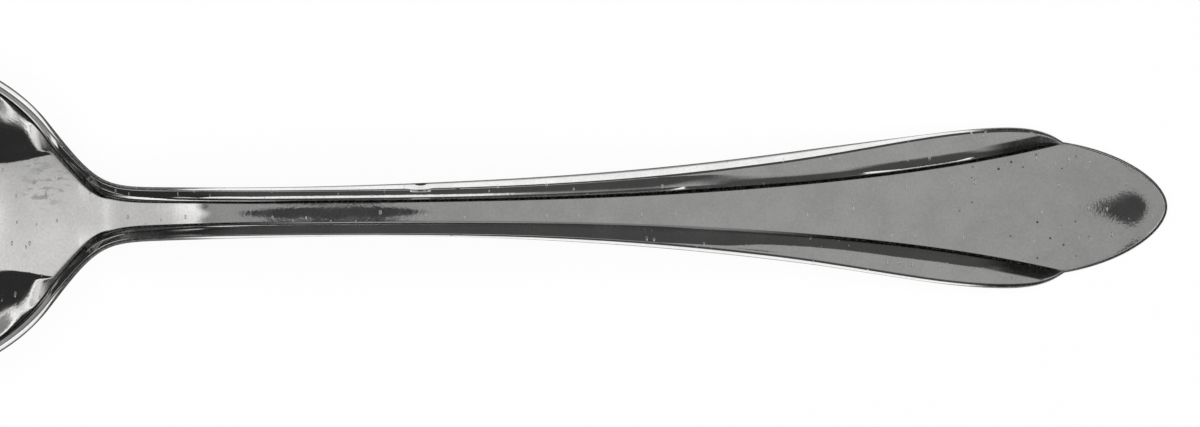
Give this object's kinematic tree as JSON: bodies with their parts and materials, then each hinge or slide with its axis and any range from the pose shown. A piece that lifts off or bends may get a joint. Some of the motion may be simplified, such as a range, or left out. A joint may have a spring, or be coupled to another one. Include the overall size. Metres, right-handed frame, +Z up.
{
  "type": "teaspoon",
  "caption": "Silver-plated teaspoon with an egg-shaped bowl, slim arched stem and flared handle whose panel runs between two grooves to a pointed end.",
  "frame": {"origin": "middle of the overall box on the table it lies on", "axes": "+X from the bowl to the handle's end, +Z up out of the bowl"},
  "size_m": [0.155, 0.033, 0.0138],
  "materials": {
    "silver_plate": "polished silver plate with fine wear"
  },
  "bodies": {
    "root": {"bowl": "silver_plate", "neck": "silver_plate", "stem": "silver_plate", "handle": "silver_plate", "terminal": "silver_plate"}
  },
  "joints": []
}
